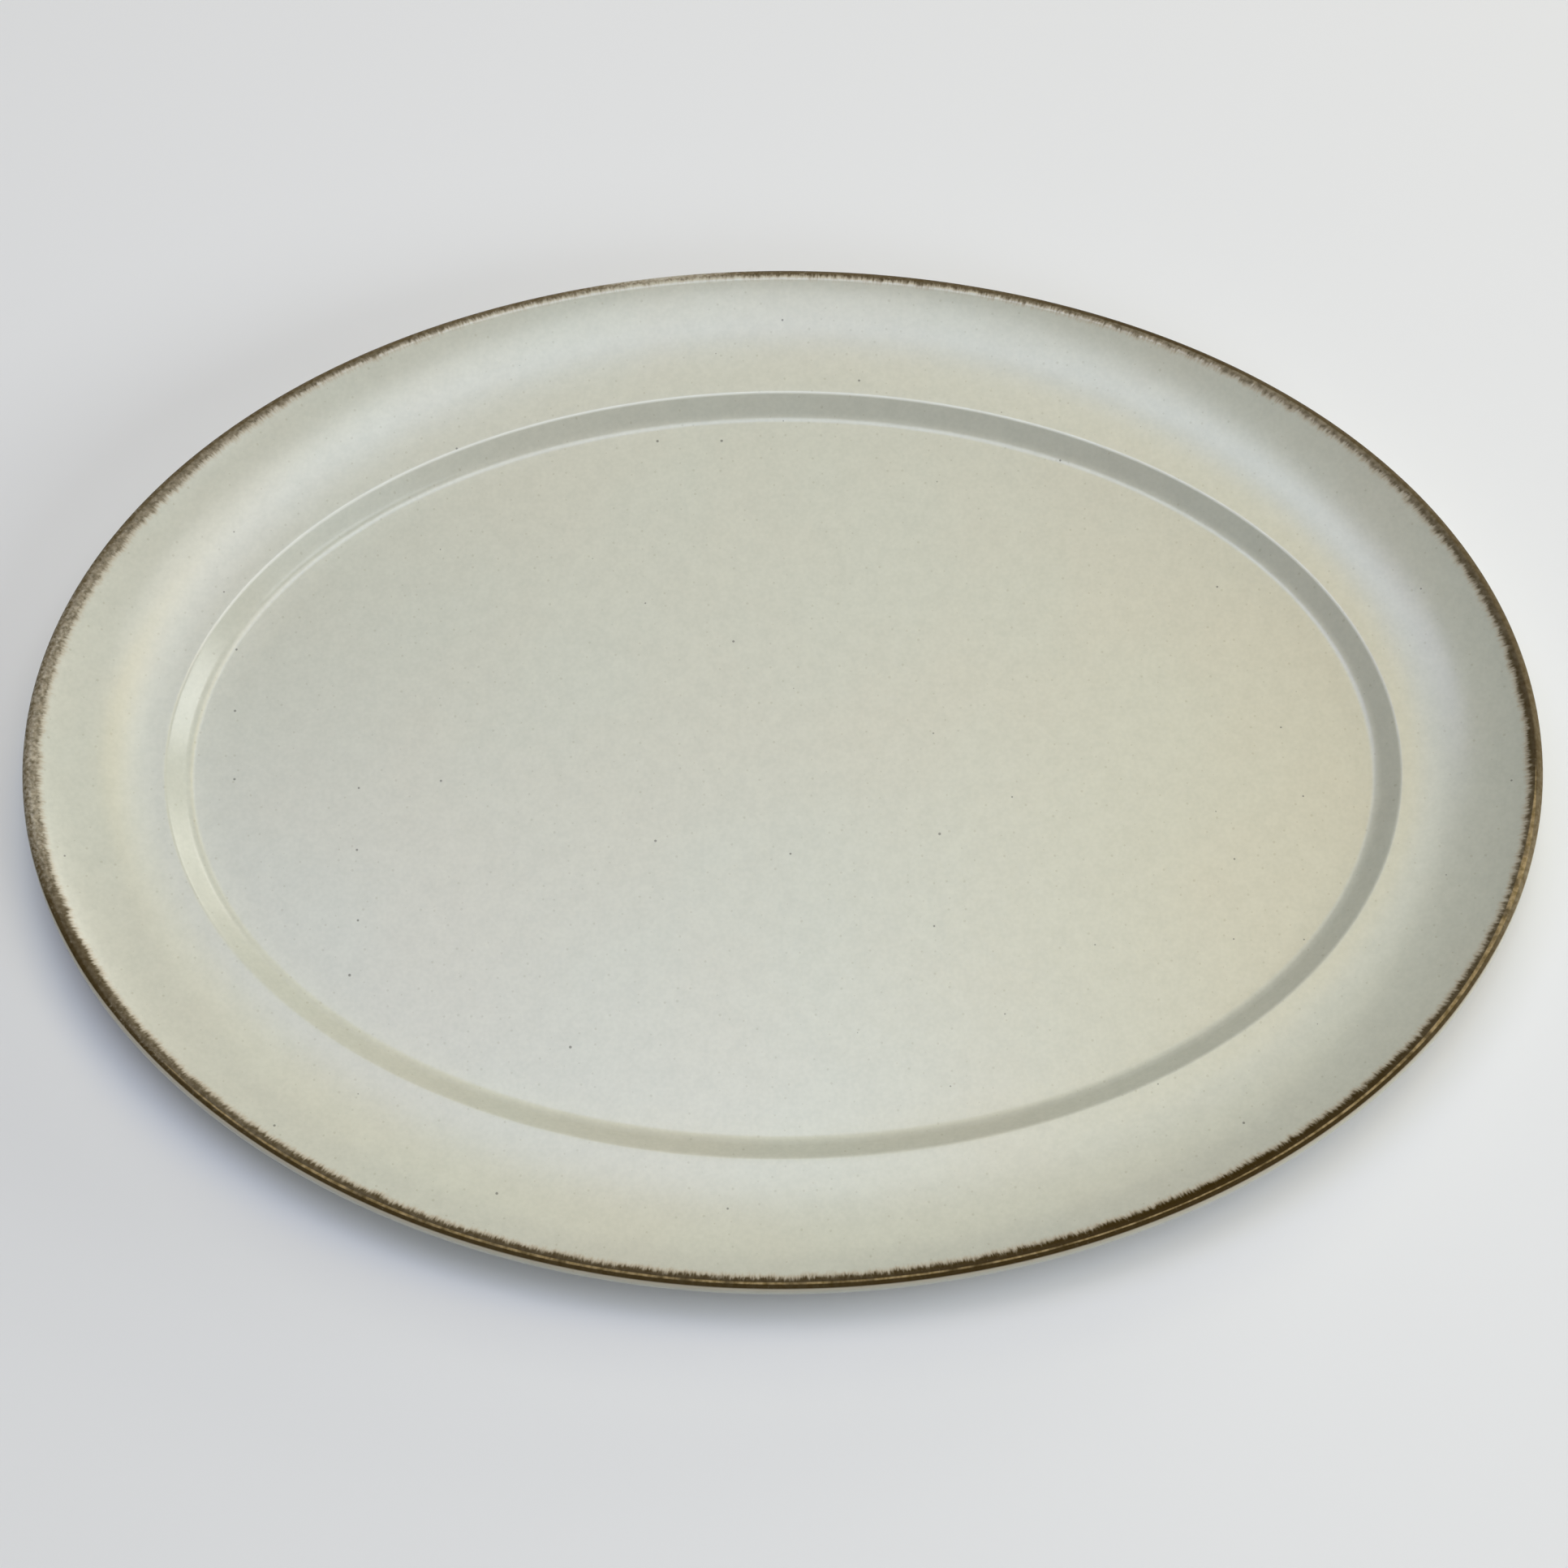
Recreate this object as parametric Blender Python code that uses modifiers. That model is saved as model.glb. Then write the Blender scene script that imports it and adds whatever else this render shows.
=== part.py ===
"""Oval rimmed serving platter: a fired clay body and the glaze coats on it.

Metres, +Z up, +X along the platter's length. The origin is the middle of the plane it rests on.
Each piece is a section in the (x, z) plane, turned into rings that are then drawn out to ovals.
"""

import math

import bpy
from mathutils import Vector

MM = 0.001

# Overall size, over the glaze
LENGTH = 356 * MM
WIDTH = 254 * MM

# Rim, from the step up to the lip
RIM_WIDTH = 31.2 * MM
RIM_INNER_SLOPE = math.radians(2)
RIM_OUTER_SLOPE = math.radians(34.5)
RIM_CURVE = 1.5
WALL = 5.8 * MM
LIP_RADIUS = 1.4 * MM
BACK_FILLET = 6.0 * MM

# Well, from the step down to the flat floor
STEP_DROP = 4.8 * MM
STEP_SLOPE = math.radians(40)
STEP_EDGE_RADIUS = 2.6 * MM
WELL_FILLET = 7.0 * MM
FLOOR = 5.5 * MM

# How much higher than on average the lip is at the ends. At the sides it is as much lower.
LIP_LIFT = 3.2 * MM

# Foot ring inside the step
FOOT_HEIGHT = 4.5 * MM
FOOT_WIDTH = 6.0 * MM
FOOT_INSET = 6.0 * MM
FOOT_DRAFT = math.radians(10)
FOOT_FILLET = 1.5 * MM
FOOT_EDGE_RADIUS = 0.8 * MM

# Glaze coats, and how far the brown one reaches inwards from the lip and round it
GLAZE = 0.5 * MM
GLAZE_GAP = 0.3 * MM
BAND_WIDTH = 2.2 * MM
BAND_TURN = math.radians(90)
BARE_FOOT = 2.0 * MM

# Facets: round the oval, along a curve, round each half of the lip and along a small arc
SEGMENTS = 64
CURVE_PIECES = 5
LIP_PIECES = 3
ARC_PIECES = 2
MERGE_DISTANCE = 0.01 * MM
SHARP_ANGLE = math.radians(30)

COAT = GLAZE + GLAZE_GAP
DRAWN_OUT = (LENGTH - WIDTH) / 2
FLOOR_TOP = FOOT_HEIGHT + FLOOR
STEP_TOP = Vector((WIDTH / 2 - RIM_WIDTH, FLOOR_TOP + STEP_DROP))
RIM_RUN = RIM_WIDTH - COAT - LIP_RADIUS * (1 + math.sin(RIM_OUTER_SLOPE))


def clear_scene():
    for thing in list(bpy.data.objects):
        bpy.data.objects.remove(thing)


def direction(angle):
    return Vector((math.cos(angle), math.sin(angle)))


def arc(centre, radius, start, turn, pieces):
    return [centre + radius * direction(start + turn * i / pieces) for i in range(pieces + 1)]


def rounded(before, corner, after, radius):
    """The arc that rounds a corner of an outline."""
    ahead = (corner - before).normalized()
    leaving = (after - corner).normalized()
    turn = math.atan2(ahead.x * leaving.y - ahead.y * leaving.x, ahead.dot(leaving))
    side = math.copysign(math.pi / 2, turn)
    heading = math.atan2(ahead.y, ahead.x)
    start = corner - ahead * radius * math.tan(abs(turn) / 2)
    centre = start + radius * direction(heading + side)
    return arc(centre, radius, heading - side, turn, ARC_PIECES)


def rim_slope(run):
    """The face's gradient at a distance outwards from the step, growing faster towards the lip."""
    inner = math.tan(RIM_INNER_SLOPE)
    outer = math.tan(RIM_OUTER_SLOPE)
    return inner + (outer - inner) * (run / RIM_RUN) ** RIM_CURVE


def rim_face(run):
    steepened = rim_slope(run) - rim_slope(0)
    rise = run * (rim_slope(0) + steepened / (RIM_CURVE + 1))
    return STEP_TOP + Vector((run, rise))


def rim_back(run):
    """The point under rim_face(run), through a wall that thins towards the lip."""
    thickness = WALL + (2 * LIP_RADIUS - WALL) * run / RIM_RUN
    slope = math.atan(rim_slope(run))
    return rim_face(run) - thickness * direction(slope + math.pi / 2)


def spread(start, end, pieces):
    return [start + (end - start) * i / pieces for i in range(pieces + 1)]


def face_stretch():
    """From the middle of the well up the step and the rim to where the brown band starts."""
    middle = Vector((0, FLOOR_TOP))
    floor_corner = STEP_TOP - Vector((STEP_DROP / math.tan(STEP_SLOPE), STEP_DROP))
    beyond_step = STEP_TOP + direction(RIM_INNER_SLOPE)
    fillet = rounded(middle, floor_corner, STEP_TOP, WELL_FILLET)
    edge = rounded(floor_corner, STEP_TOP, beyond_step, STEP_EDGE_RADIUS)
    edge_run = edge[-1].x - STEP_TOP.x
    rim = [rim_face(run) for run in spread(edge_run, RIM_RUN - BAND_WIDTH, CURVE_PIECES)]
    return [middle] + fillet + edge + rim[1:]


def lip_stretches():
    """Over the lip, in two stretches: under the brown band, and from there to the rim's back."""
    crest_angle = math.pi / 2 + RIM_OUTER_SLOPE
    centre = rim_face(RIM_RUN) - LIP_RADIUS * direction(crest_angle)
    band = [rim_face(RIM_RUN - BAND_WIDTH)] + arc(centre, LIP_RADIUS, crest_angle, -BAND_TURN, LIP_PIECES)
    outer = arc(centre, LIP_RADIUS, crest_angle - BAND_TURN, BAND_TURN - math.pi, LIP_PIECES)
    return band, outer


def foot_corners():
    """The foot ring's outline: top outside, bottom outside, bottom inside, top inside."""
    back = rim_back(0)
    top_x = back.x - FOOT_INSET
    top_z = back.y - FOOT_INSET * math.tan(STEP_SLOPE)
    lean = math.tan(FOOT_DRAFT)
    bottom_x = top_x - top_z * lean
    inside_x = bottom_x - FOOT_WIDTH
    return (
        Vector((top_x, top_z)),
        Vector((bottom_x, 0)),
        Vector((inside_x, 0)),
        Vector((inside_x - FOOT_HEIGHT * lean, FOOT_HEIGHT)),
    )


def back_stretch(lip_back):
    """From the brown band round the lip, under the rim and the step, and down the foot."""
    top, bottom = foot_corners()[:2]
    under = [rim_back(run) for run in spread(RIM_RUN, BACK_FILLET, CURVE_PIECES)]
    step_back = rim_back(0)
    crease = rounded(under[-1], step_back, top, BACK_FILLET)
    fillet = rounded(step_back, top, bottom, FOOT_FILLET)
    glaze_end = bottom + (top - bottom) * BARE_FOOT / top.y
    return lip_back + under[1:] + crease + fillet + [glaze_end]


def foot_stretch(glaze_end, glaze_start):
    """The foot's bare contact face, between the two places where glaze ends."""
    top, outside, inside, inner_top = foot_corners()
    outer_edge = rounded(top, outside, inside, FOOT_EDGE_RADIUS)
    inner_edge = rounded(outside, inside, inner_top, FOOT_EDGE_RADIUS)
    return [glaze_end] + outer_edge + inner_edge + [glaze_start]


def base_stretch():
    """From the foot's bare part up its inner side and in to the middle of the base."""
    inside, inner_top = foot_corners()[2:]
    middle = Vector((0, FOOT_HEIGHT))
    glaze_start = inside + (inner_top - inside) * BARE_FOOT / FOOT_HEIGHT
    return [glaze_start] + rounded(inside, inner_top, middle, FOOT_FILLET) + [middle]


def clay_stretches():
    """The clay's outline, clockwise. Each stretch starts on the point where the last one ended."""
    band, lip_back = lip_stretches()
    back = back_stretch(lip_back)
    base = base_stretch()
    return {
        "face": face_stretch(),
        "band": band,
        "back": back,
        "foot": foot_stretch(back[-1], base[0]),
        "base": base,
    }


def shifted(outline, distance):
    """An outline moved outwards by a distance, with its corners kept."""
    headings = [(b - a).normalized() for a, b in zip(outline, outline[1:])]
    normals = [Vector((-heading.y, heading.x)) for heading in headings]
    befores = normals[:1] + normals
    afters = normals + normals[-1:]
    return [
        point + distance * (before + after) / (1 + before.dot(after))
        for point, before, after in zip(outline, befores, afters)
    ]


def coat_section(outline, first, last, seam):
    """The section of a coat over part of the outline, set back from its neighbour at a seam."""
    outer = shifted(outline, COAT)[first : last + 1]
    inner = shifted(outline, GLAZE_GAP)[first : last + 1]
    if seam:
        for side in (outer, inner):
            side[0] = side[0] + GLAZE_GAP * (side[1] - side[0]).normalized()
    return outer + inner[::-1]


def lift(radius):
    """How much higher than on average a point at a radius is at the ends."""
    beyond = max(0, radius - STEP_TOP.x) / RIM_WIDTH
    return LIP_LIFT * beyond**2


def turned_oval(name, section):
    """A mesh of oval rings from a closed section, which stays open where it runs along the axis."""
    points = [(point.x, 0, point.y) for point in section]
    loop = [(i, (i + 1) % len(points)) for i in range(len(points))]
    edges = [(a, b) for a, b in loop if max(section[a].x, section[b].x) > MERGE_DISTANCE]
    profile_mesh = bpy.data.meshes.new(name + "_section")
    profile_mesh.from_pydata(points, edges, [])
    profile = bpy.data.objects.new(name + "_section", profile_mesh)
    bpy.context.scene.collection.objects.link(profile)
    screw = profile.modifiers.new("Turn", "SCREW")
    screw.steps = SEGMENTS
    screw.render_steps = SEGMENTS
    screw.use_merge_vertices = True
    screw.merge_threshold = MERGE_DISTANCE
    evaluated = profile.evaluated_get(bpy.context.evaluated_depsgraph_get())
    mesh = bpy.data.meshes.new_from_object(evaluated)
    mesh.name = name
    bpy.data.objects.remove(profile)
    bpy.data.meshes.remove(profile_mesh)
    for vertex in mesh.vertices:
        radius = math.hypot(vertex.co.x, vertex.co.y)
        if radius > MERGE_DISTANCE:
            endwards = (vertex.co.x**2 - vertex.co.y**2) / radius**2
            vertex.co.z += lift(radius) * endwards
            vertex.co.x += DRAWN_OUT * vertex.co.x / radius
    mesh.shade_smooth()
    mesh.set_sharp_from_angle(angle=SHARP_ANGLE)
    return mesh


def finish(name, colour, roughness):
    material = bpy.data.materials.new(name)
    material.use_nodes = True
    shader = material.node_tree.nodes["Principled BSDF"]
    shader.inputs["Base Color"].default_value = (*colour, 1)
    shader.inputs["Roughness"].default_value = roughness
    shader.inputs["Metallic"].default_value = 0
    return material


def add_piece(collection, name, section, material):
    piece = bpy.data.objects.new(name, turned_oval(name, section))
    piece.data.materials.append(material)
    collection.objects.link(piece)


def build_platter():
    clear_scene()
    collection = bpy.data.collections.new("serving_platter")
    bpy.context.scene.collection.children.link(collection)

    stretches = clay_stretches()
    outline = stretches["face"][:1]
    span = {}
    for name, points in stretches.items():
        first = len(outline) - 1
        outline = outline + points[1:]
        span[name] = (first, len(outline) - 1)

    clay = finish("bare stoneware", (0.42, 0.32, 0.22), 0.85)
    add_piece(collection, "stoneware_body", outline, clay)
    face = coat_section(outline, *span["face"], seam=False)
    add_piece(collection, "face_glaze", face, finish("pale satin glaze", (0.56, 0.55, 0.46), 0.3))
    band = coat_section(outline, *span["band"], seam=True)
    add_piece(collection, "lip_band", band, finish("iron brown glaze", (0.07, 0.04, 0.012), 0.3))
    back = coat_section(outline, *span["back"], seam=True)
    add_piece(collection, "back_glaze", back, finish("pale back glaze", (0.56, 0.55, 0.46), 0.35))
    base = coat_section(outline, *span["base"], seam=False)
    add_piece(collection, "base_glaze", base, finish("pale base glaze", (0.56, 0.55, 0.46), 0.35))


build_platter()
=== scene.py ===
"""Looks of the oval serving platter: a fine mesh for each piece, its glazes, and the studio round it.

Metres, +Z up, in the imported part's frame. As in the part's source, each piece is a section in the
(x, z) plane, turned into rings that are drawn out to ovals. Here the rings are many, and the coats of
glaze lie fused on the clay.
"""

import math
from collections import namedtuple

import bpy
from mathutils import Matrix, Vector


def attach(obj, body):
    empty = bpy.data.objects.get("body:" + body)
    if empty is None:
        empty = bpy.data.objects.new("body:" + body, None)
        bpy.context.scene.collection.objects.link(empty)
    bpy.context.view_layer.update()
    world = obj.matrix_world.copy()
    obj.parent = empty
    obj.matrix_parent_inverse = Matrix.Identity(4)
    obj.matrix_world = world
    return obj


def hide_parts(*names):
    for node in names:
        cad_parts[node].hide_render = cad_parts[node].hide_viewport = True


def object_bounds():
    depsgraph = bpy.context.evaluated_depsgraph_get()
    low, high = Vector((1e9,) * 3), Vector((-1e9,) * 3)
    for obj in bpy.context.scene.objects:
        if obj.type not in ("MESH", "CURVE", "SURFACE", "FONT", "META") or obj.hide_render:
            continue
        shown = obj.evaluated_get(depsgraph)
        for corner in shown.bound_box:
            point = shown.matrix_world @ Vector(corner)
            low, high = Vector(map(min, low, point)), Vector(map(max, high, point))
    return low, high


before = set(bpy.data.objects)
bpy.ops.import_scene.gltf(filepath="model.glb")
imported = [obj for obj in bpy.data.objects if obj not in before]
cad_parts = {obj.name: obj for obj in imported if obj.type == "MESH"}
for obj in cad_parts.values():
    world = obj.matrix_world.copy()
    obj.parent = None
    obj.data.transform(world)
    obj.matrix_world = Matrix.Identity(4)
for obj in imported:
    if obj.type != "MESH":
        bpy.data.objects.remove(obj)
cad_low, cad_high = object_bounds()

MM = 0.001

# Overall size, over the glaze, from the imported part
LENGTH = cad_high.x - cad_low.x
WIDTH = cad_high.y - cad_low.y
DRAWN_OUT = (LENGTH - WIDTH) / 2

# Rim, well and foot, as in the part's source
RIM_WIDTH = 31.2 * MM
RIM_INNER_SLOPE = math.radians(2)
RIM_OUTER_SLOPE = math.radians(34.5)
RIM_CURVE = 1.5
WALL = 5.8 * MM
LIP_RADIUS = 1.4 * MM
BACK_FILLET = 6.0 * MM
STEP_DROP = 4.8 * MM
STEP_SLOPE = math.radians(40)
FLOOR = 5.5 * MM
LIP_LIFT = 3.2 * MM
FOOT_HEIGHT = 4.5 * MM
FOOT_WIDTH = 6.0 * MM
FOOT_INSET = 6.0 * MM
FOOT_DRAFT = math.radians(10)
FOOT_FILLET = 1.5 * MM
FOOT_EDGE_RADIUS = 0.8 * MM
COAT = 0.8 * MM
BAND_WIDTH = 2.2 * MM
BAND_TURN = math.radians(90)
BARE_FOOT = 2.0 * MM

# The step's face, which is steeper and crisper than in the part's source
FACE_STEP_SLOPE = math.radians(46)
STEP_EDGE_RADIUS = 0.5 * MM
WELL_FILLET = 4.4 * MM

# Fused coats: how deep they sit in the clay, and how far their rounded edge runs at the bare foot
COAT_BED = 0.05 * MM
COAT_EDGE = 1.1 * MM

# Fired shape: how far the floor sags, the rim warps down and the oval draws in, with the counts
# and phases of the waves in which the last two go round
FLOOR_SAG = 0.15 * MM
RIM_WARP = 0.3 * MM
RIM_WAVES = ((2, 0.7), (3, 2.1))
OVAL_WARP = 0.3 * MM
OVAL_WAVES = ((3, 0.4), (5, 1.3))

# Rings along the section, and points round each ring
SEGMENTS = 384
FLOOR_RINGS = 16
STEP_RINGS = 5
CURVE_RINGS = 28
LIP_RINGS = 12
ARC_RINGS = 8
FOOT_RINGS = 14
UNDER_STEP = 3
FLAT_RADIUS = 80 * MM
ON_AXIS = 0.01 * MM
SHARP_ANGLE = math.radians(30)

FLOOR_TOP = FOOT_HEIGHT + FLOOR
STEP_TOP = Vector((WIDTH / 2 - RIM_WIDTH, FLOOR_TOP + STEP_DROP))
RIM_RUN = RIM_WIDTH - COAT - LIP_RADIUS * (1 + math.sin(RIM_OUTER_SLOPE))

# How the brown breaks round the lip: how far it reaches inwards and wraps outwards from the
# crest, how closely it covers, how wide its golden crest line is (thin glaze with a painted
# highlight in it), and how light it is on both sides of the crest. Angle 0 is +X, and 90 is +Y.
Break = namedtuple("Break", "degrees reach wrap cover gold inside outside")
BREAKS = (
    Break(0, 1.7 * MM, 3.0 * MM, 1.0, 0.0, 0.15, 0.4),
    Break(18, 1.5 * MM, 3.0 * MM, 1.0, 0.0, 0.4, 0.3),
    Break(45, 1.3 * MM, 3.0 * MM, 1.0, 0.0, 0.9, 0.2),
    Break(60, 1.0 * MM, 3.0 * MM, 1.0, 0.0, 0.9, 0.1),
    Break(75, 0.6 * MM, 2.6 * MM, 0.95, 0.0, 0.4, 0.25),
    Break(90, 0.4 * MM, 2.4 * MM, 0.95, 0.0, 0.35, 0.3),
    Break(99, 0.3 * MM, 2.4 * MM, 0.6, 0.0, 0.9, 0.7),
    Break(110, 0.4 * MM, 2.4 * MM, 0.9, 0.0, 0.7, 0.4),
    Break(125, 0.7 * MM, 2.6 * MM, 0.95, 0.0, 0.8, 0.4),
    Break(150, 1.8 * MM, 2.8 * MM, 0.88, 0.0, 1.0, 0.4),
    Break(168, 1.9 * MM, 2.6 * MM, 0.77, 0.0, 1.0, 0.45),
    Break(187, 2.2 * MM, 2.4 * MM, 0.75, 0.0, 1.0, 0.4),
    Break(204, 1.9 * MM, 1.6 * MM, 1.0, 0.0, 0.3, 0.1),
    Break(212, 1.9 * MM, 1.3 * MM, 0.9, 0.0, 0.5, 0.1),
    Break(222, 2.0 * MM, 1.3 * MM, 0.95, 0.16 * MM, 0.45, 0.1),
    Break(234, 1.8 * MM, 1.3 * MM, 1.0, 0.28 * MM, 0.3, 0.1),
    Break(250, 1.7 * MM, 1.3 * MM, 1.0, 0.26 * MM, 0.2, 0.1),
    Break(268, 1.4 * MM, 1.3 * MM, 1.0, 0.23 * MM, 0.15, 0.1),
    Break(285, 2.0 * MM, 1.3 * MM, 1.0, 0.2 * MM, 0.05, 0.05),
    Break(302, 2.4 * MM, 1.3 * MM, 1.0, 0.15 * MM, 0.0, 0.05),
    Break(318, 2.1 * MM, 1.3 * MM, 1.0, 0.25 * MM, 0.05, 0.05),
    Break(332, 1.7 * MM, 1.5 * MM, 1.0, 0.4 * MM, 0.25, 0.2),
    Break(346, 1.4 * MM, 2.2 * MM, 0.95, 0.6 * MM, 0.5, 0.6),
)
LIP_ATTRIBUTE = "lip_place"
SPREAD_ATTRIBUTE = "brown_spread"
TONE_ATTRIBUTE = "brown_tone"

# Noises by the size of their lumps and their detail, the stretches of their values that are used,
# and specks by the cells that they lie in, the share of cells that have one, and their radius
Noise = namedtuple("Noise", "size detail")
Specks = namedtuple("Specks", "cell share radius")
MIDDLE = (0.3, 0.7)
MOST = (0.25, 0.75)
SMALLEST_SPECK = 0.35
SPECK_CORE = 0.55

# Pale glaze
GLAZE_DRIFT = Noise(55 * MM, 3.0)
GLAZE_CLOUD = Noise(4 * MM, 4.0)
GLAZE_GRAIN = Noise(1.1 * MM, 2.0)
CLOUD_TONES = (0.975, 1.025)
GRAIN_TONES = (-0.028, 0.028)
CREAM = (0.505, 0.495, 0.41)
CELADON = (0.495, 0.5, 0.42)
FAINT_SPECKS = Specks(3.2 * MM, 0.4, 0.3 * MM)
FAINT_OPACITY = 0.3
FAINT_COLOUR = (0.3, 0.26, 0.18)
DARK_SPECKS = Specks(17 * MM, 0.3, 0.33 * MM)
DARK_OPACITY = 0.7
DARK_COLOUR = (0.045, 0.04, 0.035)
RIPPLE = Noise(9 * MM, 2.0)
RIPPLE_HEIGHT = 0.03 * MM
PEEL = Noise(1.1 * MM, 2.0)
PEEL_HEIGHT = 0.004 * MM
SPECK_PIT = 0.03 * MM
FACE_ROUGHNESS = 0.26
BACK_ROUGHNESS = 0.33
BASE_ROUGHNESS = 0.37
GLAZE_SPECULAR = 0.5

# Painted highlight: a pale line along the step's edge, where it fades across the edge and towards the
# near side
EDGE_HIGHLIGHT_FADE = (0.5 * MM, 0.1 * MM)
EDGE_HIGHLIGHT_OPACITY = 0.7
EDGE_HIGHLIGHT_FAR_SIDE = (0.05 * WIDTH, 0.25 * WIDTH)
EDGE_HIGHLIGHT_COLOUR = (0.7, 0.7, 0.63)

# Brown of the lip: how its limit wanders, where it fades and deepens, and its bare patches
STREAK_SHARE = 0.3
SCALLOPS = Noise(9 * MM, 1.0)
SCALLOP_SHARES = (0.9, 1.1)
DRIPS = Noise(1.6 * MM, 2.0)
DRIP_LENGTHS = (-0.3 * MM, 0.3 * MM)
HAIRS = Noise(0.5 * MM, 2.0)
HAIR_LENGTHS = (-0.4 * MM, 0.4 * MM)
INNER_FADE = (-0.7 * MM, 0.8 * MM)
OUTER_FADE = (-0.3 * MM, 0.2 * MM)
DEEPENING = (0.3 * MM, 1.4 * MM)
PATCHES = Noise(0.8 * MM, 3.0)
PATCH_FADE = (0.6, 1.4)
BARE_SHARE = 0.5

# Its tones, in pairs from thin to deep or from one blotch to the next
BLOTCHES = Noise(1.1 * MM, 3.0)
DARK_BROWNS = ((0.055, 0.036, 0.01), (0.034, 0.019, 0.002))
PALE_BROWNS = ((0.12, 0.098, 0.062), (0.25, 0.21, 0.145))
TANS = ((0.2, 0.15, 0.08), (0.32, 0.26, 0.16))
# Golden crest line: partly thin glaze and partly a painted highlight along the crest, with where it
# lies, fades and breaks into gaps
GOLD_HIGHLIGHTS = ((0.2, 0.14, 0.055), (0.38, 0.28, 0.14))
OVER_CREST = (0.0, 0.6 * MM)
GOLD_HIGHLIGHT_OFFSET = 0.05 * MM
GOLD_HIGHLIGHT_FADE = (0.12 * MM, -0.12 * MM)
GOLD_HIGHLIGHT_ONSET = (0, 0.1 * MM)
LINE_GAPS = Noise(5 * MM, 3.0)
LINE_GAP_STRETCH = (0.3, 0.6)
LINE_GAP_SHARES = (0.2, 1.0)
HALO_FADE = (-1.5 * MM, 0.1 * MM)
HALO_OPACITY = 0.65
HALO_END = (3.0 * MM, 1.0 * MM)
HALO_COLOUR = (0.42, 0.33, 0.22)
BROWN_ROUGHENING = 0.2
BROWN_SPECULAR = 0.04
BROWN_SINK = 0.02 * MM

# Bare clay
CLAY_DRIFT = Noise(12 * MM, 4.0)
CLAY_GRIT = Noise(0.5 * MM, 3.0)
CLAY_BUFFS = ((0.4, 0.29, 0.19), (0.47, 0.36, 0.25))
GRIT_OPACITY = 0.35
GRIT_COLOUR = (0.3, 0.22, 0.15)
CLAY_SPOTS = Specks(2.2 * MM, 0.25, 0.3 * MM)
SPOT_OPACITY = 0.8
SPOT_COLOUR = (0.09, 0.05, 0.03)
RUBBED_HEIGHT = (0.35 * MM, 0.05 * MM)
RUBBED_OPACITY = 0.45
RUBBED_COLOUR = (0.33, 0.3, 0.27)
CLAY_ROUGHNESS = (0.75, 0.92)
CLAY_GRAIN = Noise(0.4 * MM, 3.0)
CLAY_GRAIN_HEIGHT = 0.08 * MM

# Camera, fitted to the lip and the step in the photograph
PHOTO_SIZE = 1932
LIP_CENTRE_PIXEL = (965.2, 921.5)
CAMERA_DISTANCE = 0.7
CAMERA_ELEVATION = math.radians(72.24)
CAMERA_TURN = math.radians(-0.19)
CAMERA_LENS = 68.51
CAMERA_SENSOR = 36.0

# Studio
Lamp = namedtuple("Lamp", "name place aim size radiance colour")
LAMPS = (
    Lamp("left_box", (-0.35, 0.2, 1.2), (-0.35, 0.2, 0), (0.35, 0.35), 5.15, (0.67, 0.71, 1)),
    Lamp("middle_near_box", (0, -0.15, 1.2), (0, -0.15, 0), (0.35, 0.35), 6.23, (0.83, 0.91, 1)),
    Lamp("middle_far_box", (0, 0.2, 1.2), (0, 0.2, 0), (0.35, 0.35), 2.16, (0.19, 0.46, 1)),
    Lamp("small_left_box", (-0.08, 0.13, 1.2), (0, 0, 0), (0.18, 0.18), 5.1, (0.85, 0.91, 1)),
    Lamp("small_right_box", (0.06, 0.12, 1.2), (0, 0, 0), (0.18, 0.18), 4.8, (0.94, 0.97, 1)),
    Lamp("high_right_box", (0.889, 0, 2.443), (0, 0, 0), (0.8, 0.8), 3.46, (0.98, 0.99, 1)),
    Lamp("high_warm_box", (0.629, 0.629, 2.443), (0, 0, 0), (0.8, 0.8), 3.65, (1, 0.71, 0.14)),
    Lamp("high_far_box", (0, 0.889, 2.443), (0, 0, 0), (0.8, 0.8), 2.6, (1, 0.98, 0.8)),
    Lamp("back_box", (0, 1.601, 2.049), (0, 0, 0), (0.8, 0.8), 2.3, (1, 0.97, 0.68)),
    Lamp("front_right_box", (0.927, -0.927, 0.918), (0, 0, 0), (0.7, 0.7), 3.47, (0.84, 0.91, 1)),
    Lamp("low_right_box", (1.565, 0, 0.333), (0, 0, 0), (0.7, 0.7), 5.92, (0.98, 1, 1)),
    Lamp("low_far_box", (1.107, 1.107, 0.333), (0, 0, 0), (0.7, 0.7), 4.46, (1, 0.98, 0.9)),
)
WORLD_FILL = (0.1, 0.1, 0.1)
BACKDROP = (0.82, 0.82, 0.825)
FLOOR_COLOUR = (0.8, 0.8, 0.805)
FLOOR_SIZE = 12.0
FLOOR_FADE_START = 0.3
FLOOR_FADE_END = 0.9


def direction(angle):
    return Vector((math.cos(angle), math.sin(angle)))


def spread(start, end, pieces):
    return [start + (end - start) * i / pieces for i in range(pieces + 1)]


def arc(centre, radius, start, turn, pieces):
    return [centre + radius * direction(angle) for angle in spread(start, start + turn, pieces)]


def rounded(before, corner, after, radius):
    """The arc that rounds a corner of an outline."""
    ahead = (corner - before).normalized()
    leaving = (after - corner).normalized()
    turn = math.atan2(ahead.x * leaving.y - ahead.y * leaving.x, ahead.dot(leaving))
    side = math.copysign(math.pi / 2, turn)
    heading = math.atan2(ahead.y, ahead.x)
    start = corner - ahead * radius * math.tan(abs(turn) / 2)
    centre = start + radius * direction(heading + side)
    return arc(centre, radius, heading - side, turn, ARC_RINGS)


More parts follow.
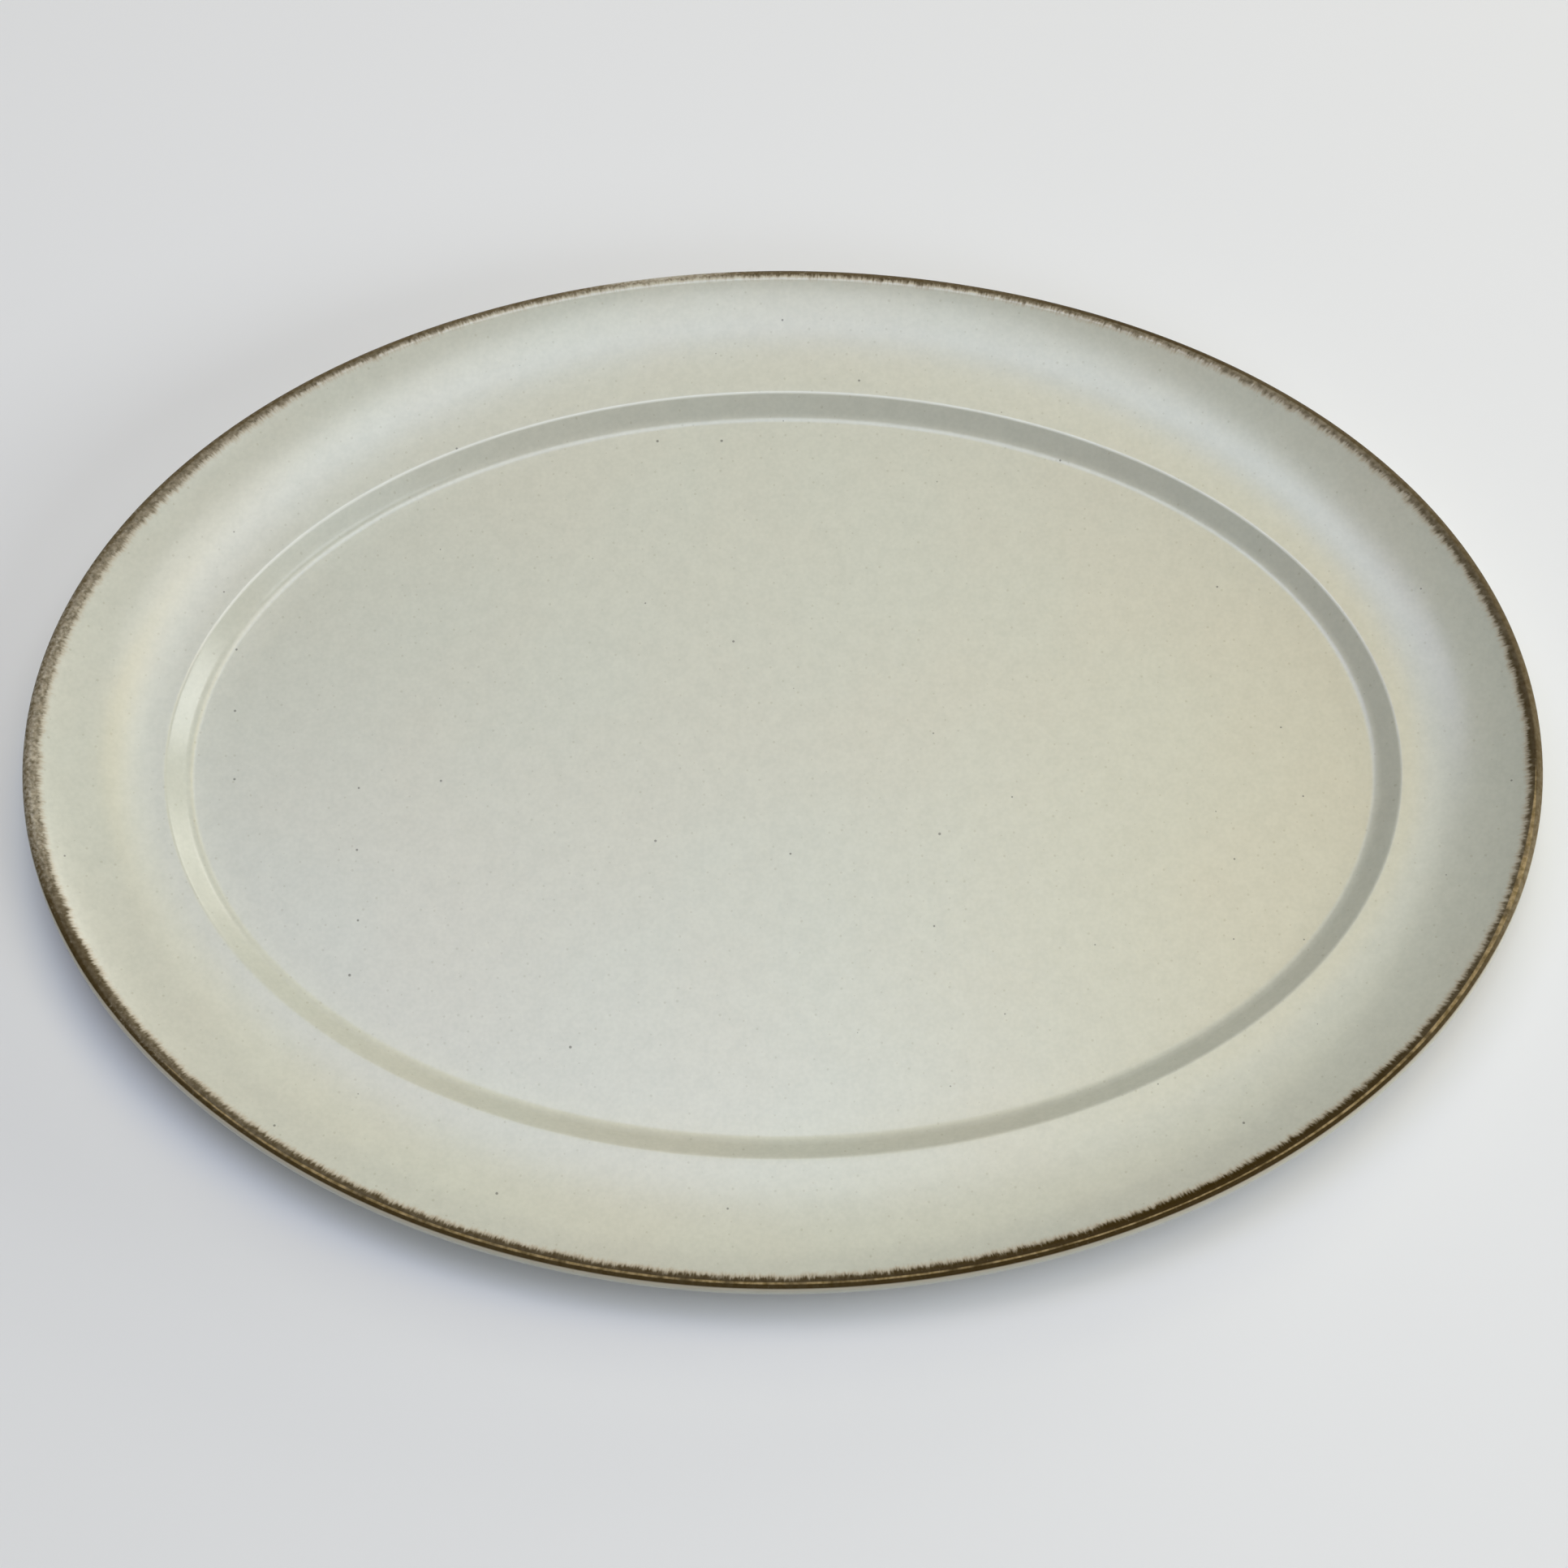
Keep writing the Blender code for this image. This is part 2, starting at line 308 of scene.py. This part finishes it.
def rim_slope(run):
    """The face's gradient at a distance outwards from the step, growing faster towards the lip."""
    inner = math.tan(RIM_INNER_SLOPE)
    outer = math.tan(RIM_OUTER_SLOPE)
    return inner + (outer - inner) * (run / RIM_RUN) ** RIM_CURVE


def rim_face(run):
    steepened = rim_slope(run) - rim_slope(0)
    rise = run * (rim_slope(0) + steepened / (RIM_CURVE + 1))
    return STEP_TOP + Vector((run, rise))


def rim_back(run):
    """The point under rim_face(run), through a wall that thins towards the lip."""
    thickness = WALL + (2 * LIP_RADIUS - WALL) * run / RIM_RUN
    slope = math.atan(rim_slope(run))
    return rim_face(run) - thickness * direction(slope + math.pi / 2)


def foot_corners():
    """The foot ring's outline: top outside, bottom outside, bottom inside, top inside."""
    back = rim_back(0)
    top_x = back.x - FOOT_INSET
    top_z = back.y - FOOT_INSET * math.tan(STEP_SLOPE)
    lean = math.tan(FOOT_DRAFT)
    bottom_x = top_x - top_z * lean
    inside_x = bottom_x - FOOT_WIDTH
    return (
        Vector((top_x, top_z)),
        Vector((bottom_x, 0)),
        Vector((inside_x, 0)),
        Vector((inside_x - FOOT_HEIGHT * lean, FOOT_HEIGHT)),
    )


def face_stretch():
    """From the middle of the well up the step and the rim to where the brown band starts."""
    middle = Vector((0, FLOOR_TOP))
    floor_corner = STEP_TOP - Vector((STEP_DROP / math.tan(FACE_STEP_SLOPE), STEP_DROP))
    fillet = rounded(middle, floor_corner, STEP_TOP, WELL_FILLET)
    edge = rounded(floor_corner, STEP_TOP, STEP_TOP + direction(RIM_INNER_SLOPE), STEP_EDGE_RADIUS)
    edge_run = edge[-1].x - STEP_TOP.x
    floor = spread(middle, fillet[0], FLOOR_RINGS)
    step = spread(fillet[-1], edge[0], STEP_RINGS)
    rim = [rim_face(run) for run in spread(edge_run, RIM_RUN - BAND_WIDTH, CURVE_RINGS)]
    return floor[:-1] + fillet[:-1] + step[:-1] + edge[:-1] + rim


def lip_stretches():
    """Over the lip, in two stretches: under the brown band, and from there to the rim's back."""
    crest_angle = math.pi / 2 + RIM_OUTER_SLOPE
    centre = rim_face(RIM_RUN) - LIP_RADIUS * direction(crest_angle)
    inner = [rim_face(run) for run in spread(RIM_RUN - BAND_WIDTH, RIM_RUN, LIP_RINGS)]
    band = inner[:-1] + arc(centre, LIP_RADIUS, crest_angle, -BAND_TURN, LIP_RINGS)
    outer = arc(centre, LIP_RADIUS, crest_angle - BAND_TURN, BAND_TURN - math.pi, LIP_RINGS)
    return band, outer


def back_stretch(lip_back):
    """From the brown band round the lip, under the rim and the step, and down the foot."""
    top, bottom = foot_corners()[:2]
    under = [rim_back(run) for run in spread(RIM_RUN, BACK_FILLET, CURVE_RINGS)]
    step_back = rim_back(0)
    crease = rounded(under[-1], step_back, top, BACK_FILLET)
    fillet = rounded(step_back, top, bottom, FOOT_FILLET)
    slant = spread(crease[-1], fillet[0], STEP_RINGS)
    glaze_end = bottom + (top - bottom) * BARE_FOOT / top.y
    side = spread(fillet[-1], glaze_end, FOOT_RINGS)
    return lip_back[:-1] + under + crease[:-1] + slant[:-1] + fillet[:-1] + side


def foot_stretch(glaze_end, glaze_start):
    """The foot's bare contact face, between the two places where glaze ends."""
    top, outside, inside, inner_top = foot_corners()
    outer_edge = rounded(top, outside, inside, FOOT_EDGE_RADIUS)
    inner_edge = rounded(outside, inside, inner_top, FOOT_EDGE_RADIUS)
    contact = spread(outer_edge[-1], inner_edge[0], ARC_RINGS)
    return [glaze_end] + outer_edge[:-1] + contact + inner_edge[1:] + [glaze_start]


def base_stretch():
    """From the foot's bare part up its inner side and in to the middle of the base."""
    inside, inner_top = foot_corners()[2:]
    middle = Vector((0, FOOT_HEIGHT))
    glaze_start = inside + (inner_top - inside) * BARE_FOOT / FOOT_HEIGHT
    fillet = rounded(inside, inner_top, middle, FOOT_FILLET)
    side = spread(glaze_start, fillet[0], FOOT_RINGS)
    return side + fillet[1:-1] + spread(fillet[-1], middle, FLOOR_RINGS)


def joined_outline():
    """The clay's outline, clockwise from the middle of the well, and each stretch's span in it."""
    band, lip_back = lip_stretches()
    back = back_stretch(lip_back)
    base = base_stretch()
    foot = foot_stretch(back[-1], base[0])
    stretches = {"face": face_stretch(), "band": band, "back": back, "foot": foot, "base": base}
    outline = stretches["face"][:1]
    span = {}
    for name, points in stretches.items():
        first = len(outline) - 1
        outline = outline + points[1:]
        span[name] = (first, len(outline) - 1)
    return outline, span


def shifted(outline, distances):
    """An outline with each point moved outwards by its own distance."""
    headings = [(b - a).normalized() for a, b in zip(outline, outline[1:])]
    normals = [Vector((-heading.y, heading.x)) for heading in headings]
    befores = normals[:1] + normals
    afters = normals + normals[-1:]
    return [
        point + distance * (before + after) / (1 + before.dot(after))
        for point, distance, before, after in zip(outline, distances, befores, afters)
    ]


def lengths_along(outline):
    lengths = [0.0]
    for a, b in zip(outline, outline[1:]):
        lengths.append(lengths[-1] + (b - a).length)
    return lengths


def coat_thickness(along, bare):
    """The coat over each point: none on the bare foot, and rounded off where it ends there."""
    first, last = bare
    thickness = []
    for length in along:
        distance = max(along[first] - length, length - along[last], 0)
        short = 1 - min(distance / COAT_EDGE, 1)
        thickness.append(COAT * math.sqrt(1 - short * short))
    return thickness


def wave_share(angle, waves):
    """From 0 to 1 round the oval, as the sum of a few waves."""
    total = sum(math.sin(count * angle + phase) for count, phase in waves)
    return (len(waves) + total) / (2 * len(waves))


def warped(place, radius, angle):
    """A point of the ideal shape, moved as the kiln moves it. The foot ring stays where it is."""
    foot_radius = foot_corners()[2].x
    if radius < foot_radius:
        place.z -= FLOOR_SAG * (1 - (radius / foot_radius) ** 2) ** 2
        return place
    share = ((radius - foot_radius) / (WIDTH / 2 - foot_radius)) ** 2
    droop = RIM_WARP * share * wave_share(angle, RIM_WAVES)
    shrink = 1 - OVAL_WARP * share * wave_share(angle, OVAL_WAVES) / (WIDTH / 2)
    return Vector((place.x * shrink, place.y * shrink, place.z - droop))


def lift(radius):
    """How much higher than on average a point at a radius is at the ends."""
    beyond = max(0, radius - STEP_TOP.x) / RIM_WIDTH
    return LIP_LIFT * beyond**2


def oval_place(point, raised, angle):
    """Where a point of the section comes to lie when it is turned, raised and drawn out."""
    drawn = DRAWN_OUT * min(point.x / FLAT_RADIUS, 1)
    x = (point.x + drawn) * math.cos(angle)
    y = point.x * math.sin(angle)
    z = point.y + raised * math.cos(2 * angle)
    return warped(Vector((x, y, z)), point.x, angle)


def brown_break(angle):
    """The values of a break at an angle, eased between the entries."""
    degrees = math.degrees(angle) % 360
    wrapped = BREAKS[-1:] + BREAKS + BREAKS[:1]
    turns = [-360] + [0] * len(BREAKS) + [360]
    stations = [(entry.degrees + turn, entry) for entry, turn in zip(wrapped, turns)]
    for (start, first), (end, second) in zip(stations, stations[1:]):
        if degrees <= end:
            break
    share = (degrees - start) / (end - start)
    eased = share * share * (3 - 2 * share)
    return [a + (b - a) * eased for a, b in zip(first[1:], second[1:])]


def add_attribute(mesh, name, vectors):
    attribute = mesh.attributes.new(name, "FLOAT_VECTOR", "POINT")
    attribute.data.foreach_set("vector", [number for vector in vectors for number in vector])


def turned_piece(name, section, reaches):
    """A closed piece from a section: a ring for each point off the axis, one vertex for one on it.

    Its points also carry their place on the lip's oval with the distance from the crest, and how
    the brown breaks at that angle.
    """
    angles = [math.tau * i / SEGMENTS for i in range(SEGMENTS)]
    breaks = [brown_break(angle) for angle in angles]
    vertices = []
    lip_places = []
    spreads = []
    tones = []
    rings = []
    for point, reach in zip(section, reaches):
        count = SEGMENTS if point.x > ON_AXIS else 1
        raised = lift(point.x)
        rings.append([len(vertices) + i % count for i in range(SEGMENTS)])
        for angle, values in list(zip(angles, breaks))[:count]:
            vertices.append(oval_place(point, raised, angle))
            lip_places.append((LENGTH / 2 * math.cos(angle), WIDTH / 2 * math.sin(angle), reach))
            spreads.append(values[:3])
            tones.append(values[3:])
    faces = []
    for before, after in zip(rings, rings[1:] + rings[:1]):
        for i in range(SEGMENTS):
            j = (i + 1) % SEGMENTS
            corners = list(dict.fromkeys((before[i], after[i], after[j], before[j])))
            if len(corners) > 2:
                faces.append(corners)
    mesh = bpy.data.meshes.new(name)
    mesh.from_pydata(vertices, [], faces)
    add_attribute(mesh, LIP_ATTRIBUTE, lip_places)
    add_attribute(mesh, SPREAD_ATTRIBUTE, spreads)
    add_attribute(mesh, TONE_ATTRIBUTE, tones)
    mesh.shade_smooth()
    mesh.set_sharp_from_angle(angle=SHARP_ANGLE)
    piece = bpy.data.objects.new(name, mesh)
    bpy.context.scene.collection.objects.link(piece)
    return piece


class Graph:
    """A material's node tree, with short calls for the nodes that are used here."""

    def __init__(self, name):
        self.material = bpy.data.materials.new(name)
        self.material.use_nodes = True
        self.tree = self.material.node_tree
        self.shader = self.tree.nodes["Principled BSDF"]

    def put(self, socket, value):
        if isinstance(value, bpy.types.NodeSocket):
            self.tree.links.new(value, socket)
        else:
            socket.default_value = value

    def node(self, kind, inputs, **settings):
        node = self.tree.nodes.new("ShaderNode" + kind)
        for key, value in settings.items():
            setattr(node, key, value)
        for key, value in inputs.items():
            self.put(node.inputs[key], value)
        return node

    def math(self, operation, a, b=0.0):
        return self.node("Math", {0: a, 1: b}, operation=operation).outputs[0]

    def eased(self, value, start, end, low=0.0, high=1.0):
        """Low up to start and high from end on, with a smooth change between."""
        limits = {"Value": value, "From Min": start, "From Max": end, "To Min": low, "To Max": high}
        return self.node("MapRange", limits, interpolation_type="SMOOTHSTEP").outputs["Result"]

    def noise(self, place, kind):
        """Noise round 0.5 of a kind."""
        inputs = {"Vector": place, "Scale": 1 / kind.size, "Detail": kind.detail}
        return self.node("TexNoise", inputs).outputs["Fac"]

    def mix(self, share, first, second):
        node = self.node("Mix", {}, data_type="RGBA")
        self.put(node.inputs[0], share)
        self.put(node.inputs[6], first)
        self.put(node.inputs[7], second)
        return node.outputs[2]

    def object_place(self):
        return self.node("TexCoord", {}).outputs["Object"]

    def parts(self, vector):
        return self.node("SeparateXYZ", {"Vector": vector}).outputs

    def attribute(self, name):
        return self.node("Attribute", {}, attribute_name=name).outputs["Vector"]

    def bump(self, height):
        """Lets a height in metres shape the shader's normal."""
        bump = self.node("Bump", {"Height": height, "Distance": 1.0, "Strength": 1.0})
        self.put(self.shader.inputs["Normal"], bump.outputs["Normal"])

    def specks(self, place, kind):
        """1 on round specks of a kind and of mixed sizes, each in a cell of a grid."""
        inputs = {"Vector": place, "Scale": 1 / kind.cell}
        cells = self.node("TexVoronoi", inputs, voronoi_dimensions="2D").outputs
        chance, size = self.node("SeparateColor", {"Color": cells["Color"]}).outputs[:2]
        radius = kind.radius / kind.cell
        outside = self.math("MULTIPLY_ADD", size, radius)
        outside.node.inputs[2].default_value = SMALLEST_SPECK * radius
        inside = self.math("MULTIPLY", outside, SPECK_CORE)
        spot = self.eased(cells["Distance"], outside, inside)
        return self.math("MULTIPLY", spot, self.math("LESS_THAN", chance, kind.share))


def colour(red, green, blue):
    return (red, green, blue, 1.0)


def speckled_glaze(graph, place):
    """The pale glaze's own colour: drifting cream and celadon, fine grain and iron specks."""
    drift = graph.eased(graph.noise(place, GLAZE_DRIFT), *MIDDLE)
    cloud = graph.eased(graph.noise(place, GLAZE_CLOUD), *MOST, *CLOUD_TONES)
    grain = graph.eased(graph.noise(place, GLAZE_GRAIN), *MOST, *GRAIN_TONES)
    body = graph.mix(drift, colour(*CREAM), colour(*CELADON))
    tone = graph.math("ADD", cloud, grain)
    shaded = graph.node("VectorMath", {0: body}, operation="SCALE")
    graph.put(shaded.inputs["Scale"], tone)
    faint = graph.math("MULTIPLY", graph.specks(place, FAINT_SPECKS), FAINT_OPACITY)
    tinted = graph.mix(faint, shaded.outputs[0], colour(*FAINT_COLOUR))
    dark = graph.specks(place, DARK_SPECKS)
    specked = graph.mix(graph.math("MULTIPLY", dark, DARK_OPACITY), tinted, colour(*DARK_COLOUR))
    return specked, dark


def painted_edge_highlight(graph, base, step_edge):
    """A painted highlight: a thin pale line along the step's edge on the far side."""
    along_y, place = graph.parts(graph.attribute(LIP_ATTRIBUTE))[1:]
    off_edge = graph.math("ABSOLUTE", graph.math("SUBTRACT", place, step_edge))
    # The painted highlight, strongest on the edge and only on the far side
    highlight_line = graph.eased(off_edge, *EDGE_HIGHLIGHT_FADE, 0.0, EDGE_HIGHLIGHT_OPACITY)
    far_side = graph.eased(along_y, *EDGE_HIGHLIGHT_FAR_SIDE)
    return graph.mix(graph.math("MULTIPLY", highlight_line, far_side), base, colour(*EDGE_HIGHLIGHT_COLOUR))


def between(graph, share, pair):
    first, second = pair
    return graph.mix(share, colour(*first), colour(*second))


def brown_lip(graph, base):
    """The brown that breaks through along the lip, with a golden crest line that is partly a painted
    highlight, over a base colour, and its mask.
    """
    lip = graph.attribute(LIP_ATTRIBUTE)
    along_x, along_y, place = graph.parts(lip)
    reach, wrap, cover = graph.parts(graph.attribute(SPREAD_ATTRIBUTE))
    gold_highlight_width, inside, outside = graph.parts(graph.attribute(TONE_ATTRIBUTE))
    drawn = graph.math("MULTIPLY", place, STREAK_SHARE)
    streaks = graph.node("CombineXYZ", {0: along_x, 1: along_y, 2: drawn}).outputs[0]

    scallops = graph.eased(graph.noise(streaks, SCALLOPS), *MIDDLE, *SCALLOP_SHARES)
    drips = graph.eased(graph.noise(streaks, DRIPS), *MOST, *DRIP_LENGTHS)
    hairs = graph.eased(graph.noise(streaks, HAIRS), *MOST, *HAIR_LENGTHS)
    limit = graph.math("ADD", graph.math("MULTIPLY", reach, scallops), graph.math("ADD", drips, hairs))
    within = graph.math("ADD", place, limit)
    inner = graph.eased(within, *INNER_FADE)
    outer = graph.eased(graph.math("SUBTRACT", wrap, place), *OUTER_FADE)
    depth = graph.eased(within, *DEEPENING)
    bare = graph.math("MULTIPLY", graph.math("SUBTRACT", 1.0, cover), depth)
    patched = graph.math("ADD", graph.noise(lip, PATCHES), cover)
    closed = graph.math("SUBTRACT", patched, graph.math("MULTIPLY", bare, BARE_SHARE))
    mask = graph.math("MULTIPLY", graph.math("MULTIPLY", inner, outer), graph.eased(closed, *PATCH_FADE))

    blotch = graph.eased(graph.noise(lip, BLOTCHES), *MIDDLE)
    dark = between(graph, depth, DARK_BROWNS)
    face = graph.mix(inside, dark, between(graph, blotch, PALE_BROWNS))
    shell = graph.mix(outside, dark, between(graph, blotch, TANS))
    brown = graph.mix(graph.eased(place, *OVER_CREST), face, shell)
    # The golden crest line, partly thin glaze and partly a painted highlight along the crest, broken
    # into gaps
    off_crest = graph.math("ABSOLUTE", graph.math("SUBTRACT", place, GOLD_HIGHLIGHT_OFFSET))
    crest = graph.eased(graph.math("SUBTRACT", off_crest, gold_highlight_width), *GOLD_HIGHLIGHT_FADE)
    gapped = graph.eased(graph.noise(streaks, LINE_GAPS), *LINE_GAP_STRETCH, *LINE_GAP_SHARES)
    shown = graph.math("MULTIPLY", graph.math("MULTIPLY", crest, gapped), graph.eased(gold_highlight_width, *GOLD_HIGHLIGHT_ONSET))
    brown = graph.mix(shown, brown, between(graph, blotch, GOLD_HIGHLIGHTS))

    near_lip = graph.math("MULTIPLY", graph.eased(within, *HALO_FADE, 0.0, HALO_OPACITY), cover)
    beyond = graph.eased(place, *HALO_END)
    halo = graph.mix(graph.math("MULTIPLY", near_lip, beyond), base, colour(*HALO_COLOUR))
    return graph.mix(mask, halo, brown), mask


def glaze_relief(graph, place, sunk):
    """Soft ripples and a fine orange peel, less a height that is sunk."""
    ripple = graph.math("MULTIPLY", graph.noise(place, RIPPLE), RIPPLE_HEIGHT)
    peel = graph.math("MULTIPLY", graph.noise(place, PEEL), PEEL_HEIGHT)
    graph.bump(graph.math("SUBTRACT", graph.math("ADD", ripple, peel), sunk))


def glaze_material(name, smooth, step_edge):
    """Satin speckled glaze that breaks brown along the lip, with a painted highlight along the step's
    edge.
    """
    graph = Graph(name)
    place = graph.object_place()
    base, dark = speckled_glaze(graph, place)
    tint, mask = brown_lip(graph, painted_edge_highlight(graph, base, step_edge))
    graph.put(graph.shader.inputs["Base Color"], tint)
    dry = graph.math("MAXIMUM", dark, mask)
    roughness = graph.eased(dry, 0, 1, smooth, smooth + BROWN_ROUGHENING)
    graph.put(graph.shader.inputs["Roughness"], roughness)
    specular = graph.eased(mask, 0, 1, GLAZE_SPECULAR, BROWN_SPECULAR)
    graph.put(graph.shader.inputs["Specular IOR Level"], specular)
    glaze_relief(graph, place, graph.math("MULTIPLY", mask, BROWN_SINK))
    return graph.material


def base_material(name):
    """The glaze under the platter, with no brown on it."""
    graph = Graph(name)
    place = graph.object_place()
    tint, dark = speckled_glaze(graph, place)
    graph.put(graph.shader.inputs["Base Color"], tint)
    graph.put(graph.shader.inputs["Roughness"], BASE_ROUGHNESS)
    glaze_relief(graph, place, graph.math("MULTIPLY", dark, SPECK_PIT))
    return graph.material


def clay_material(name):
    """Bare fired stoneware: buff, gritty, with iron spots and a rubbed grey bearing face."""
    graph = Graph(name)
    place = graph.object_place()
    drift = graph.eased(graph.noise(place, CLAY_DRIFT), *MIDDLE)
    grit = graph.eased(graph.noise(place, CLAY_GRIT), *MIDDLE)
    buff = between(graph, drift, CLAY_BUFFS)
    gritty = graph.mix(graph.math("MULTIPLY", grit, GRIT_OPACITY), buff, colour(*GRIT_COLOUR))
    spots = graph.math("MULTIPLY", graph.specks(place, CLAY_SPOTS), SPOT_OPACITY)
    spotted = graph.mix(spots, gritty, colour(*SPOT_COLOUR))
    height = graph.parts(place)[2]
    rubbed = graph.math("MULTIPLY", graph.eased(height, *RUBBED_HEIGHT, 0, RUBBED_OPACITY), drift)
    graph.put(graph.shader.inputs["Base Color"], graph.mix(rubbed, spotted, colour(*RUBBED_COLOUR)))
    graph.put(graph.shader.inputs["Roughness"], graph.eased(grit, 0, 1, *CLAY_ROUGHNESS))
    graph.bump(graph.math("MULTIPLY", graph.noise(place, CLAY_GRAIN), CLAY_GRAIN_HEIGHT))
    return graph.material


def add_piece(name, section, reaches, node, slot, material):
    piece = turned_piece(name, section, reaches)
    piece.data.materials.append(material)
    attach(piece, "root")
    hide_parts(node)


def build_platter():
    outline, span = joined_outline()
    along = lengths_along(outline)
    skin = shifted(outline, coat_thickness(along, span["foot"]))
    bed = shifted(outline, [-COAT_BED] * len(outline))
    skin_along = lengths_along(skin)
    crest = max(range(len(skin)), key=lambda i: skin[i].y)
    reaches = [length - skin_along[crest] for length in skin_along]
    step_edge = min(range(len(outline)), key=lambda i: (outline[i] - STEP_TOP).length)

    def coat(stretch):
        first, last = span[stretch]
        over = list(range(first, last + 1))
        under = sorted({*range(first, last, UNDER_STEP), last}, reverse=True)
        return [skin[i] for i in over] + [bed[i] for i in under], [reaches[i] for i in over + under]

    foot_first, foot_last = span["foot"]
    hidden = {*range(0, len(outline), UNDER_STEP), len(outline) - 1}
    kept = sorted(hidden | set(range(foot_first - FOOT_RINGS, foot_last + FOOT_RINGS)))
    clay = [outline[i] for i in kept], [reaches[i] for i in kept]

    bare = clay_material("gritty_buff_clay")
    satin = glaze_material("speckled_satin_glaze", FACE_ROUGHNESS, reaches[step_edge])
    brown = glaze_material("iron_brown_glaze", FACE_ROUGHNESS, reaches[step_edge])
    back = glaze_material("speckled_back_glaze", BACK_ROUGHNESS, reaches[step_edge])
    base = base_material("speckled_base_glaze")
    add_piece("clay_body", *clay, "stoneware_body", "bare_clay", bare)
    add_piece("glazed_face", *coat("face"), "face_glaze", "face_glaze", satin)
    add_piece("brown_lip", *coat("band"), "lip_band", "brown_glaze", brown)
    add_piece("glazed_back", *coat("back"), "back_glaze", "back_glaze", back)
    add_piece("glazed_base", *coat("base"), "base_glaze", "base_glaze", base)
    return skin[crest].y


def show_backdrop(tree, shaded, background):
    """The backdrop for rays from the camera or off a gloss, and the shaded result for the others."""
    path = tree.nodes.new("ShaderNodeLightPath").outputs
    seen = path["Is Camera Ray"]
    for other in ("Is Glossy Ray", "Is Transmission Ray"):
        either = tree.nodes.new("ShaderNodeMath")
        either.operation = "MAXIMUM"
        tree.links.new(seen, either.inputs[0])
        tree.links.new(path[other], either.inputs[1])
        seen = either.outputs[0]
    choice = tree.nodes.new("ShaderNodeMixShader")
    tree.links.new(seen, choice.inputs[0])
    tree.links.new(shaded, choice.inputs[1])
    tree.links.new(background, choice.inputs[2])
    return choice.outputs[0]


def add_world():
    world = bpy.data.worlds.new("studio")
    bpy.context.scene.world = world
    world.use_nodes = True
    tree = world.node_tree
    fill = tree.nodes["Background"]
    fill.inputs["Color"].default_value = colour(*WORLD_FILL)
    pale = tree.nodes.new("ShaderNodeBackground")
    pale.inputs["Color"].default_value = colour(*BACKDROP)
    shown = show_backdrop(tree, fill.outputs[0], pale.outputs[0])
    tree.links.new(shown, tree.nodes["World Output"].inputs["Surface"])


def floor_material():
    """Pale and matte, passing into the backdrop's colour away from the platter."""
    graph = Graph("pale_floor")
    matte = graph.node("BsdfDiffuse", {"Color": colour(*FLOOR_COLOUR)}).outputs[0]
    pale = graph.node("Emission", {"Color": colour(*BACKDROP)}).outputs[0]
    distance = graph.node("VectorMath", {0: graph.object_place()}, operation="LENGTH").outputs["Value"]
    far = graph.eased(distance, FLOOR_FADE_START, FLOOR_FADE_END)
    faded = show_backdrop(graph.tree, matte, pale)
    choice = graph.node("MixShader", {0: far, 1: matte, 2: faded})
    graph.tree.links.new(choice.outputs[0], graph.tree.nodes["Material Output"].inputs["Surface"])
    graph.tree.nodes.remove(graph.shader)
    return graph.material


def add_floor():
    half = FLOOR_SIZE / 2
    corners = [(-half, -half, 0), (half, -half, 0), (half, half, 0), (-half, half, 0)]
    mesh = bpy.data.meshes.new("floor")
    mesh.from_pydata(corners, [], [(0, 1, 2, 3)])
    mesh.materials.append(floor_material())
    floor = bpy.data.objects.new("floor", mesh)
    bpy.context.scene.collection.objects.link(floor)


def add_lamp(lamp):
    """A rectangular soft lamp with a radiance, which a white surface filling its view would show."""
    light = bpy.data.lights.new(lamp.name, "AREA")
    light.shape = "RECTANGLE"
    light.size, light.size_y = lamp.size
    light.energy = lamp.radiance * math.pi * light.size * light.size_y
    light.color = lamp.colour
    thing = bpy.data.objects.new(lamp.name, light)
    thing.location = lamp.place
    thing.rotation_euler = (Vector(lamp.place) - Vector(lamp.aim)).to_track_quat("Z", "Y").to_euler()
    bpy.context.scene.collection.objects.link(thing)


def add_camera(crest_height):
    """The photograph's camera, which shows the middle of the lip's oval at its pixel."""
    data = bpy.data.cameras.new("camera")
    data.lens = CAMERA_LENS
    data.sensor_width = CAMERA_SENSOR
    camera = bpy.data.objects.new("camera", data)
    tilt = Matrix.Rotation(math.pi / 2 - CAMERA_ELEVATION, 3, "X")
    turned = Matrix.Rotation(CAMERA_TURN, 3, "Z") @ tilt
    metres_per_pixel = CAMERA_SENSOR / CAMERA_LENS * CAMERA_DISTANCE / PHOTO_SIZE
    right = (LIP_CENTRE_PIXEL[0] - PHOTO_SIZE / 2) * metres_per_pixel
    up = (PHOTO_SIZE / 2 - LIP_CENTRE_PIXEL[1]) * metres_per_pixel
    place = Vector((0, 0, crest_height)) + turned @ Vector((-right, -up, CAMERA_DISTANCE))
    camera.matrix_world = Matrix.Translation(place) @ turned.to_4x4()
    bpy.context.scene.collection.objects.link(camera)
    bpy.context.scene.camera = camera


crest_height = build_platter()
add_world()
add_floor()
for lamp in LAMPS:
    add_lamp(lamp)
add_camera(crest_height)
bpy.context.scene.view_settings.view_transform = "Standard"
